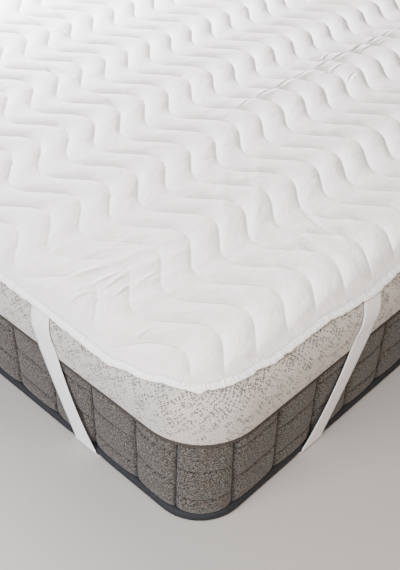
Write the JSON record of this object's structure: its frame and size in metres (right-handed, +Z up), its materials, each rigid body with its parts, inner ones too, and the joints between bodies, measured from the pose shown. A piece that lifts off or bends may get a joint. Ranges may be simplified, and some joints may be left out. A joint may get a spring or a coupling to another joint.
{
  "type": "mattress protector on a mattress",
  "caption": "Quilted mattress protector with a bound hem, held by elastic corner straps on the soft-edged mattress it fits.",
  "frame": {"origin": "under the middle of the mattress, on the surface it rests on", "axes": "+X across the bed, +Y along the bed from its front end to its back end, +Z up"},
  "size_m": [1.6034, 2.0034, 0.2655],
  "materials": {
    "quilted_cotton": "matt fine woven cotton, quilted",
    "binding_tape": "matt folded cotton tape",
    "elastic": "smooth ribbed elastic webbing",
    "knit_cover": "pale soft knit with pinholes",
    "border_wool": "dark mottled wool-like cloth, quilted in boxes",
    "foot_tape": "dark woven edge roll"
  },
  "bodies": {
    "root": {"pad": "quilted_cotton", "binding": "binding_tape", "strap_front_left": "elastic", "strap_front_right": "elastic", "strap_back_right": "elastic", "strap_back_left": "elastic", "mattress_cover": "knit_cover", "mattress_border": "border_wool", "mattress_foot": "foot_tape"}
  },
  "joints": []
}
